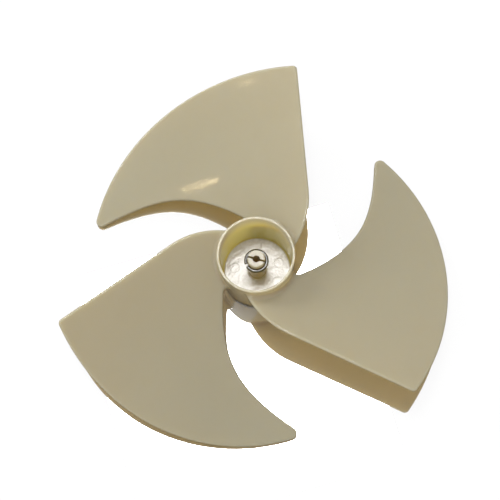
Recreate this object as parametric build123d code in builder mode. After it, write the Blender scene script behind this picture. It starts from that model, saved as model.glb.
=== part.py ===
from build123d import *
import os

os.makedirs("parts", exist_ok=True)

# Hub: a drafted cup, open towards +Z, with a shallow recess under its floor
HUB_HEIGHT = 32.0
RIM_RADIUS = 17.0
BASE_RADIUS = 16.0
HUB_WALL = 1.2
RIM_ROUND = 0.4
FLOOR_TOP = 4.2
FLOOR_THICKNESS = 2.4
FLOOR_CORNER = 0.8

# Boss: split collet in the middle of the cup, bored for the motor shaft
BOSS_DIAMETER = 8.0
BOSS_TOP = 24.6
BOSS_CHAMFER = 0.4
BOSS_FILLET = 0.6
BORE_DIAMETER = 3.2
SLIT_WIDTH = 0.9
SLIT_BOTTOM = 9.0
SLIT_ANGLE = -17.0

# Ejector marks: shallow round dimples in the cup floor
MARK_DIAMETER = 4.2
MARK_DEPTH = 0.25
MARK_RADIUS = 10.2
MARK_ANGLES = (20.0, 173.0, -30.0)

# Wire ring that squeezes the collet, seated in a round groove of the boss
WIRE_DIAMETER = 1.6
SEAT_DEPTH = 0.25
SEAT_CLEARANCE = 0.03
RING_DROP = 3.6
RING_OPEN_ANGLE = 14.0
RING_GAP_ANGLE = 205.0
WIRE_CHAMFER = 0.2

# Blade outline seen from the front, for the blade that points to +Y
BLADE_COUNT = 3
CORNER = (18.0, 87.7)
STRAIGHT_END = (22.9, 29.4)
STRAIGHT_ROOT = (5.5, -6.3)
HOLLOW_ROOT = (6.0, 10.5)
HOLLOW_IN = (-16.8, 26.2)
HOLLOW_MID = (-38.0, 31.1)
HOLLOW_OUT = (-53.3, 28.1)
TIP = (-73.9, 18.7)
OUTER_MID = (-45.3, 68.9)
CORNER_ROUND = 2.2
TIP_ROUND = 2.6

# Blade in section, on four planes across the straight edge, placed by shares of the corner's distance:
# the straight edge drops below the rim, the nose lifts off the back plane
SECTION_SHARES = (-0.14, 0.32, 0.68, 1.08)
EDGE_DROPS = (0.8, 0.7, 0.5, 0.2)
NOSE_LIFTS = (0.2, 0.4, 1.1, 2.4)
SHEET_MARGIN = 0.5
DISH = 3.6
BLADE_THICKNESS = 2.3
BLADE_ROUND = 0.8
ROOT_FILLET = 2.0

boss_radius = BOSS_DIAMETER / 2
bore_radius = BORE_DIAMETER / 2
wire_radius = WIRE_DIAMETER / 2
seat_radius = wire_radius + SEAT_CLEARANCE
ring_radius = boss_radius - SEAT_DEPTH + seat_radius
ring_height = BOSS_TOP - RING_DROP
recess_depth = FLOOR_TOP - FLOOR_THICKNESS
draft = (RIM_RADIUS - BASE_RADIUS) / HUB_HEIGHT
floor_radius = BASE_RADIUS + draft * FLOOR_TOP - HUB_WALL
ceiling_radius = BASE_RADIUS + draft * recess_depth - HUB_WALL
edge_x = STRAIGHT_END[0] + SHEET_MARGIN
nose_x = TIP[0] - SHEET_MARGIN
through = Vector(0, BLADE_THICKNESS)
wire_outward = Vector(1, 0, 0).rotate(Axis.Z, RING_GAP_ANGLE + RING_OPEN_ANGLE / 2)
wire_start = Plane(origin=(0, 0, 0), x_dir=wire_outward, z_dir=wire_outward.cross(Vector(0, 0, 1)))

# One blade: a dished, twisted sheet trimmed to the sickle outline, its edges rounded
with BuildPart() as blade:
    for share, edge_drop, nose_lift in zip(SECTION_SHARES, EDGE_DROPS, NOSE_LIFTS):
        edge_end = Vector(edge_x, HUB_HEIGHT - edge_drop)
        nose_end = Vector(nose_x, nose_lift + BLADE_THICKNESS)
        dish_point = (edge_end + nose_end) / 2 - Vector(0, DISH)
        with BuildSketch(Plane.XZ.offset(-share * CORNER[1])):
            with BuildLine():
                top = ThreePointArc(edge_end, dish_point, nose_end)
                under = ThreePointArc(top @ 0 - through, top @ 0.5 - through, top @ 1 - through)
                Line(top @ 0, under @ 0)
                Line(top @ 1, under @ 1)
            make_face()
    loft()
    with BuildSketch() as outline:
        with BuildLine():
            straight = Line(CORNER, STRAIGHT_END)
            TangentArc(STRAIGHT_END, STRAIGHT_ROOT, tangent=straight % 1)
            Line(STRAIGHT_ROOT, HOLLOW_ROOT)
            Spline(HOLLOW_ROOT, HOLLOW_IN, HOLLOW_MID, HOLLOW_OUT, TIP)
            ThreePointArc(TIP, OUTER_MID, CORNER)
        make_face()
        fillet(outline.vertices().sort_by_distance(CORNER)[0], CORNER_ROUND)
        fillet(outline.vertices().sort_by_distance(TIP)[0], TIP_ROUND)
    extrude(amount=HUB_HEIGHT, mode=Mode.INTERSECT)
    root_end = blade.faces().filter_by(GeomType.PLANE).sort_by_distance((0, 0, HUB_HEIGHT))[0]
    sheet_edges = blade.faces().sort_by(SortBy.AREA)[-2:].edges()
    fillet(sheet_edges - root_end.edges(), BLADE_ROUND)

# Moulded rotor: hub, blades, cup floor and split boss in one piece
with BuildPart() as fan_rotor:
    with BuildSketch(Plane.XZ) as hub:
        with BuildLine():
            Polyline((0, 0), (BASE_RADIUS, 0), (RIM_RADIUS, HUB_HEIGHT), (0, HUB_HEIGHT), close=True)
        make_face()
        fillet(hub.vertices().sort_by_distance((RIM_RADIUS, HUB_HEIGHT))[0], RIM_ROUND)
    revolve(axis=Axis.Z)
    with PolarLocations(0, BLADE_COUNT):
        add(blade.part)
    hub_side = fan_rotor.faces().filter_by(GeomType.CONE).sort_by(SortBy.AREA)[-1]
    fillet([edge for loop in hub_side.inner_wires() for edge in loop.edges()], ROOT_FILLET)

    # Cup round the boss, tapered like its outside, and the recess under the floor
    with BuildSketch(Plane.XZ) as cup:
        with BuildLine():
            Polyline(
                (boss_radius, FLOOR_TOP),
                (floor_radius, FLOOR_TOP),
                (RIM_RADIUS - HUB_WALL, HUB_HEIGHT),
                (0, HUB_HEIGHT),
                (0, BOSS_TOP),
                (boss_radius, BOSS_TOP),
                close=True,
            )
        make_face()
        fillet(cup.vertices().sort_by_distance((floor_radius, FLOOR_TOP))[0], FLOOR_CORNER)
        fillet(cup.vertices().sort_by_distance((boss_radius, FLOOR_TOP))[0], BOSS_FILLET)
        chamfer(cup.vertices().sort_by_distance((boss_radius, BOSS_TOP))[0], BOSS_CHAMFER)
    revolve(axis=Axis.Z, mode=Mode.SUBTRACT)
    with BuildSketch(Plane.XZ):
        with BuildLine():
            Polyline(
                (BASE_RADIUS - HUB_WALL, 0),
                (ceiling_radius, recess_depth),
                (boss_radius, recess_depth),
                (boss_radius, 0),
                close=True,
            )
        make_face()
    revolve(axis=Axis.Z, mode=Mode.SUBTRACT)
    rim = fan_rotor.faces().filter_by(Axis.Z).sort_by(Axis.Z)[-1]
    fillet(rim.inner_wires()[0].edges(), RIM_ROUND)

    # Bore for the shaft, groove for the wire ring and the slit that lets the boss close on the shaft
    with Locations((0, 0, BOSS_TOP)):
        Hole(bore_radius)
    with BuildSketch(Plane.XZ):
        with Locations((ring_radius, ring_height)):
            Circle(seat_radius)
    revolve(axis=Axis.Z, mode=Mode.SUBTRACT)
    with BuildSketch(Plane.XY.offset(SLIT_BOTTOM)):
        Rectangle(BOSS_DIAMETER + WIRE_DIAMETER, SLIT_WIDTH, rotation=SLIT_ANGLE)
    extrude(amount=BOSS_TOP - SLIT_BOTTOM, mode=Mode.SUBTRACT)

    # Ejector marks
    for angle in MARK_ANGLES:
        with BuildSketch(Plane.XY.offset(FLOOR_TOP)):
            with PolarLocations(MARK_RADIUS, 1, start_angle=angle):
                Circle(MARK_DIAMETER / 2)
        extrude(amount=-MARK_DEPTH, mode=Mode.SUBTRACT)

fan_rotor.part.label = "fan_rotor"
export_step(fan_rotor.part, "parts/fan_rotor.step")

# Split ring of round spring wire
with BuildPart() as spring_ring:
    with BuildSketch(wire_start):
        with Locations((ring_radius, ring_height)):
            Circle(wire_radius)
    revolve(axis=Axis.Z, revolution_arc=360 - RING_OPEN_ANGLE)
    chamfer(spring_ring.faces().filter_by(GeomType.PLANE).edges(), WIRE_CHAMFER)

spring_ring.part.label = "spring_ring"
export_step(spring_ring.part, "parts/spring_ring.step")
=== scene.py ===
from math import cos, radians, sin

import bpy
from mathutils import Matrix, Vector


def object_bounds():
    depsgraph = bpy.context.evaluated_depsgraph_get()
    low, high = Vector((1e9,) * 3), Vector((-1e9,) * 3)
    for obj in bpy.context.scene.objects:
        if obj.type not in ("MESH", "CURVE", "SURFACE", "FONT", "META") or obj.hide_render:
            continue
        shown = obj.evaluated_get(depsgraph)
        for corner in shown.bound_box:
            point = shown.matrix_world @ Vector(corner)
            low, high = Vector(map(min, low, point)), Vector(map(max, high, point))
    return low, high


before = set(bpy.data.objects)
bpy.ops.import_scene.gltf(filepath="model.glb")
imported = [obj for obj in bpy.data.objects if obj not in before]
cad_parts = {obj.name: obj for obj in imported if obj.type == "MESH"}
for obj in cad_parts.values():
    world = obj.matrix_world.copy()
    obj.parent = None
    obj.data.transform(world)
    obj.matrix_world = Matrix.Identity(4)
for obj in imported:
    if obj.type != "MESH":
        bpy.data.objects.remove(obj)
cad_low, cad_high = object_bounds()

# Fan rotor: hub cup, three sickle blades, cup floor and split boss in one injection moulding
# of cream plastic. The mould polishes the blades and leaves a slight flow pattern in the colour;
# the floor of the cup has the coarse grain of a sparked mould face.
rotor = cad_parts["fan_rotor"]
base_radius = 0.0160
rim_radius = 0.0170
floor_level = 0.0042
floor_edge_radius = 0.0150
floor_flat_radius = 0.0143
floor_over = (0.0010, 0.0003)
floor_under = (0.0016, 0.0010)
wall_depth = (0.00045, 0.00070)
wall_below_rim = (0.0010, 0.0090)
wall_foot = (0.0036, 0.0046)
boss_clearance = (0.0070, 0.0090)
mark_radius = 0.0021
mark_line = 0.00032
mark_distance = 0.0102
mark_angles = (20, 173, -30)
cream_dark = (0.464, 0.410, 0.282, 1)
cream_light = (0.484, 0.431, 0.301, 1)
# Golden wall colour: a painted glow of light shining through the cup wall
painted_glow_gold = (0.80, 0.63, 0.19, 1)
# Pale floor colour: partly the paler frosted face of the sparked floor, partly a painted glare
floor_frost_and_painted_glare = (0.75, 0.73, 0.68, 1)

cream = bpy.data.materials.new("cream_moulded_plastic")
cream.use_nodes = True
plastic = cream.node_tree
shader = plastic.nodes["Principled BSDF"]
shader.inputs["IOR"].default_value = 1.49
shader.inputs["Subsurface Radius"].default_value = (1.0, 0.84, 0.60)
shader.inputs["Subsurface Scale"].default_value = 0.0095
shader.inputs["Specular IOR Level"].default_value = 0.30
shader.inputs["Coat IOR"].default_value = 2.7
shader.inputs["Coat Roughness"].default_value = 0.38
place = plastic.nodes.new("ShaderNodeTexCoord").outputs["Object"]


def speckle(tree, place, scale, detail, distortion=0.0):
    noise = tree.nodes.new("ShaderNodeTexNoise")
    noise.inputs["Scale"].default_value = scale
    noise.inputs["Detail"].default_value = detail
    noise.inputs["Distortion"].default_value = distortion
    tree.links.new(place, noise.inputs["Vector"])
    return noise.outputs["Fac"]


def two_tone(tree, amount, dark_stop, dark, light_stop, light):
    ramp = tree.nodes.new("ShaderNodeValToRGB")
    ramp.color_ramp.elements[0].position = dark_stop
    ramp.color_ramp.elements[0].color = dark
    ramp.color_ramp.elements[1].position = light_stop
    ramp.color_ramp.elements[1].color = light
    tree.links.new(amount, ramp.inputs["Fac"])
    return ramp.outputs["Color"]


def fade(tree, amount, start=0.0, stop=1.0, low=0.0, high=1.0):
    ranged = tree.nodes.new("ShaderNodeMapRange")
    ranged.inputs["From Min"].default_value = start
    ranged.inputs["From Max"].default_value = stop
    ranged.inputs["To Min"].default_value = low
    ranged.inputs["To Max"].default_value = high
    tree.links.new(amount, ranged.inputs["Value"])
    return ranged.outputs["Result"]


def work_out(tree, operation, *terms):
    sum_node = tree.nodes.new("ShaderNodeMath")
    sum_node.operation = operation
    for socket, term in zip(sum_node.inputs, terms):
        if isinstance(term, float):
            socket.default_value = term
        else:
            tree.links.new(term, socket)
    return sum_node.outputs["Value"]


def tint(tree, area, colour_outside, colour_inside):
    blend = tree.nodes.new("ShaderNodeMix")
    blend.data_type = "RGBA"
    tree.links.new(area, blend.inputs["Factor"])
    tree.links.new(colour_outside, blend.inputs[6])
    blend.inputs[7].default_value = colour_inside
    return blend.outputs[2]


# Areas of the moulding, found by the radius from the axis and the height over the back.
# Each pair of sizes above is where an area begins to show and where it shows in full.
split = plastic.nodes.new("ShaderNodeSeparateXYZ")
plastic.links.new(place, split.inputs["Vector"])
height = split.outputs["Z"]
flat = plastic.nodes.new("ShaderNodeCombineXYZ")
plastic.links.new(split.outputs["X"], flat.inputs["X"])
plastic.links.new(split.outputs["Y"], flat.inputs["Y"])
length = plastic.nodes.new("ShaderNodeVectorMath")
length.operation = "LENGTH"
plastic.links.new(flat.outputs["Vector"], length.inputs[0])
radius = length.outputs["Value"]

within_edge = fade(plastic, radius, floor_edge_radius, floor_flat_radius)
below_top = fade(plastic, height, floor_level + floor_over[0], floor_level + floor_over[1])
above_recess = fade(plastic, height, floor_level - floor_under[0], floor_level - floor_under[1])
floor_layer = work_out(plastic, "MULTIPLY", below_top, above_recess)
cup_floor = work_out(plastic, "MULTIPLY", within_edge, floor_layer)

# The inner cup wall area below carries the painted golden glow of light through the wall
wall_slope = (rim_radius - base_radius) / cad_high.z
straight_radius = work_out(plastic, "MULTIPLY_ADD", height, -wall_slope, radius)
painted_glow_wall = fade(plastic, straight_radius, base_radius - wall_depth[0], base_radius - wall_depth[1])
wall_limits = (
    fade(plastic, radius, *boss_clearance),
    fade(plastic, height, cad_high.z - wall_below_rim[0], cad_high.z - wall_below_rim[1]),
    fade(plastic, height, *wall_foot),
)
for limit in wall_limits:
    painted_glow_wall = work_out(plastic, "MULTIPLY", painted_glow_wall, limit)

# Colour: cream with a slight flow pattern, and a painted golden glow on the inner cup wall that stands
# for light coming through the wall
flow = speckle(plastic, place, scale=14.0, detail=1.0, distortion=0.4)
flow_colour = two_tone(plastic, flow, dark_stop=0.25, dark=cream_dark, light_stop=0.75, light=cream_light)
colour_with_painted_glow = tint(plastic, painted_glow_wall, flow_colour, painted_glow_gold)
# The cup floor is paler: partly its frosted sparked face, partly a painted glare
colour = tint(plastic, cup_floor, colour_with_painted_glow, floor_frost_and_painted_glare)
plastic.links.new(colour, shader.inputs["Base Color"])
depth = fade(plastic, cup_floor, low=1.0, high=0.2)
plastic.links.new(depth, shader.inputs["Subsurface Weight"])

# Shine of the cup floor: broken by the grain, and dull along the edge of each ejector mark
grain = speckle(plastic, place, scale=900.0, detail=2.0)
grain_shine = fade(plastic, grain, start=0.40, stop=0.56, low=0.10, high=1.0)
floor_shine = work_out(plastic, "MULTIPLY", cup_floor, grain_shine)
for angle in mark_angles:
    from_mark = plastic.nodes.new("ShaderNodeVectorMath")
    from_mark.operation = "DISTANCE"
    plastic.links.new(flat.outputs["Vector"], from_mark.inputs[0])
    from_mark.inputs[1].default_value = (
        mark_distance * cos(radians(angle)),
        mark_distance * sin(radians(angle)),
        0,
    )
    edge = work_out(plastic, "COMPARE", from_mark.outputs["Value"], mark_radius, mark_line)
    off_edge = work_out(plastic, "SUBTRACT", 1.0, edge)
    floor_shine = work_out(plastic, "MULTIPLY", floor_shine, off_edge)
plastic.links.new(floor_shine, shader.inputs["Coat Weight"])

# Skin: polished with a faint haze, and the raised grain of the cup floor
haze = speckle(plastic, place, scale=90.0, detail=4.0)
roughness = fade(plastic, haze, start=0.3, stop=0.7, low=0.035, high=0.05)
plastic.links.new(roughness, shader.inputs["Roughness"])
skin = speckle(plastic, place, scale=700.0, detail=2.0)
skin_bump = plastic.nodes.new("ShaderNodeBump")
skin_bump.inputs["Strength"].default_value = 0.006
skin_bump.inputs["Distance"].default_value = 0.0002
plastic.links.new(skin, skin_bump.inputs["Height"])
grain_bump = plastic.nodes.new("ShaderNodeBump")
grain_bump.inputs["Strength"].default_value = 0.3
grain_bump.inputs["Distance"].default_value = 0.0004
grain_height = work_out(plastic, "MULTIPLY", grain, cup_floor)
plastic.links.new(grain_height, grain_bump.inputs["Height"])
plastic.links.new(skin_bump.outputs["Normal"], grain_bump.inputs["Normal"])
plastic.links.new(grain_bump.outputs["Normal"], shader.inputs["Normal"])
plastic.links.new(grain_bump.outputs["Normal"], shader.inputs["Coat Normal"])

rotor.data.materials.clear()
rotor.data.materials.append(cream)

# Spring ring: round spring wire of dark drawn steel, bent to an open ring and snapped into
# the groove of the boss, so that it squeezes the split boss on the shaft. Its skin is mottled,
# lighter and a little duller in spots.
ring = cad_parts["spring_ring"]
steel_dark = (0.09, 0.09, 0.085, 1)
steel_light = (0.19, 0.185, 0.175, 1)
steel = bpy.data.materials.new("drawn_steel_wire")
steel.use_nodes = True
wire = steel.node_tree
shader = wire.nodes["Principled BSDF"]
shader.inputs["Metallic"].default_value = 1.0
place = wire.nodes.new("ShaderNodeTexCoord").outputs["Object"]
mottle = speckle(wire, place, scale=1500.0, detail=3.0)
steel_colour = two_tone(wire, mottle, dark_stop=0.35, dark=steel_dark, light_stop=0.65, light=steel_light)
wire.links.new(steel_colour, shader.inputs["Base Color"])
wire.links.new(fade(wire, mottle, low=0.14, high=0.30), shader.inputs["Roughness"])
ring.data.materials.clear()
ring.data.materials.append(steel)

# Table: a plain white polished sheet, on which the rotor lies on the back of its hub.
# Seen from above it mirrors the undersides of the blades; seen from the side it is plain white.
# The light that it throws back up on the blades is warm and dim.
table_width = 8.0
table_gap = 0.0001
bpy.ops.object.select_all(action="DESELECT")
bpy.ops.mesh.primitive_plane_add(size=table_width, location=(0, 0, cad_low.z - table_gap))
table = bpy.context.active_object
table.name = "table"
sheet = bpy.data.materials.new("white_polished_sheet")
sheet.use_nodes = True
surface = sheet.node_tree
shader = surface.nodes["Principled BSDF"]
shader.inputs["Base Color"].default_value = (0.96, 0.96, 0.96, 1)
shader.inputs["Roughness"].default_value = 0.6
polish = surface.nodes.new("ShaderNodeBsdfGlossy")
polish.inputs["Color"].default_value = (1, 1, 1, 1)
polish.inputs["Roughness"].default_value = 0.0
slant = surface.nodes.new("ShaderNodeLayerWeight").outputs["Facing"]
polished = surface.nodes.new("ShaderNodeMixShader")
mirroring = fade(surface, slant, start=0.10, stop=0.35, low=0.85, high=0.06)
surface.links.new(mirroring, polished.inputs["Fac"])
surface.links.new(shader.outputs["BSDF"], polished.inputs[1])
surface.links.new(polish.outputs["BSDF"], polished.inputs[2])
warm = surface.nodes.new("ShaderNodeBsdfDiffuse")
warm.inputs["Color"].default_value = (0.315, 0.265, 0.20, 1)
ray = surface.nodes.new("ShaderNodeLightPath")
seen_or_thrown = surface.nodes.new("ShaderNodeMixShader")
surface.links.new(ray.outputs["Is Camera Ray"], seen_or_thrown.inputs["Fac"])
surface.links.new(warm.outputs["BSDF"], seen_or_thrown.inputs[1])
surface.links.new(polished.outputs["Shader"], seen_or_thrown.inputs[2])
surface.links.new(seen_or_thrown.outputs["Shader"], surface.nodes["Material Output"].inputs["Surface"])
table.data.materials.append(sheet)

# Room: plain white walls all round, lit evenly. They are white where the camera looks at them,
# straight or in one reflection, and dimmer as a light on the rotor.
seen_level = 1.05
mirror_limit = 1.5
light_level = 0.42
room = bpy.data.worlds.new("white_room")
bpy.context.scene.world = room
room.use_nodes = True
walls = room.node_tree
back = walls.nodes["Background"]
back.inputs["Color"].default_value = (1, 1, 1, 1)
ray = walls.nodes.new("ShaderNodeLightPath")
first_mirror = work_out(walls, "LESS_THAN", ray.outputs["Glossy Depth"], mirror_limit)
mirrored = work_out(walls, "MULTIPLY", ray.outputs["Is Glossy Ray"], first_mirror)
seen = work_out(walls, "MAXIMUM", ray.outputs["Is Camera Ray"], mirrored)
level = fade(walls, seen, low=light_level, high=seen_level)
walls.links.new(level, back.inputs["Strength"])


# Lamps: a soft box above and behind, where the flat floor of the cup mirrors it, a window to the
# left and a fill light in front. Two thin warm tubes give the short streaks on the upper blade,
# each set where the blade mirrors it at the point that the lamp is aimed at.
def lamp(name, towards, distance, size, watts, aim=(0, 0, 0), colour=(1, 1, 1)):
    data = bpy.data.lights.new(name, "AREA")
    data.shape = "RECTANGLE"
    data.size, data.size_y = size
    data.energy = watts
    data.color = colour
    made = bpy.data.objects.new(name, data)
    made.location = Vector(aim) + Vector(towards).normalized() * distance
    made.rotation_euler = Vector(towards).to_track_quat("Z", "Y").to_euler()
    bpy.context.scene.collection.objects.link(made)


lamp("soft_box", towards=(-0.045, 0.15, 0.98), distance=1.2, size=(0.32, 0.32), watts=4.8)
lamp("window", towards=(-0.6, 0.6, 0.5), distance=1.3, size=(0.5, 0.5), watts=6.0)
lamp("front_fill", towards=(-0.45, -0.65, 0.62), distance=1.3, size=(0.9, 0.7), watts=2.3)
warm_white = (1.0, 0.78, 0.42)
lamp(
    "streak_low",
    towards=(-0.560, 0.272, 0.774),
    distance=1.0,
    size=(0.002, 0.048),
    watts=0.0130,
    aim=(-0.0232, 0.0369, 0.0142),
    colour=warm_white,
)
lamp(
    "streak_high",
    towards=(-0.5985, 0.3286, 0.722),
    distance=1.0,
    size=(0.002, 0.026),
    watts=0.0036,
    aim=(-0.0053, 0.0832, 0.0206),
    colour=warm_white,
)

# Camera: a long lens above the front of the rotor, looking down into the cup, with the place
# and the turn that fit the rim, the boss and the outlines of the blades.
camera = bpy.data.cameras.new("camera")
camera.lens = 114.8
camera.sensor_width = 36.0
eye = bpy.data.objects.new("camera", camera)
bpy.context.scene.collection.objects.link(eye)
bpy.context.scene.camera = eye
eye.location = (0.01837, -0.17486, 0.69265)
eye.rotation_euler = (0.261491, 0.030826, 0.00257)

bpy.context.scene.view_settings.view_transform = "Standard"
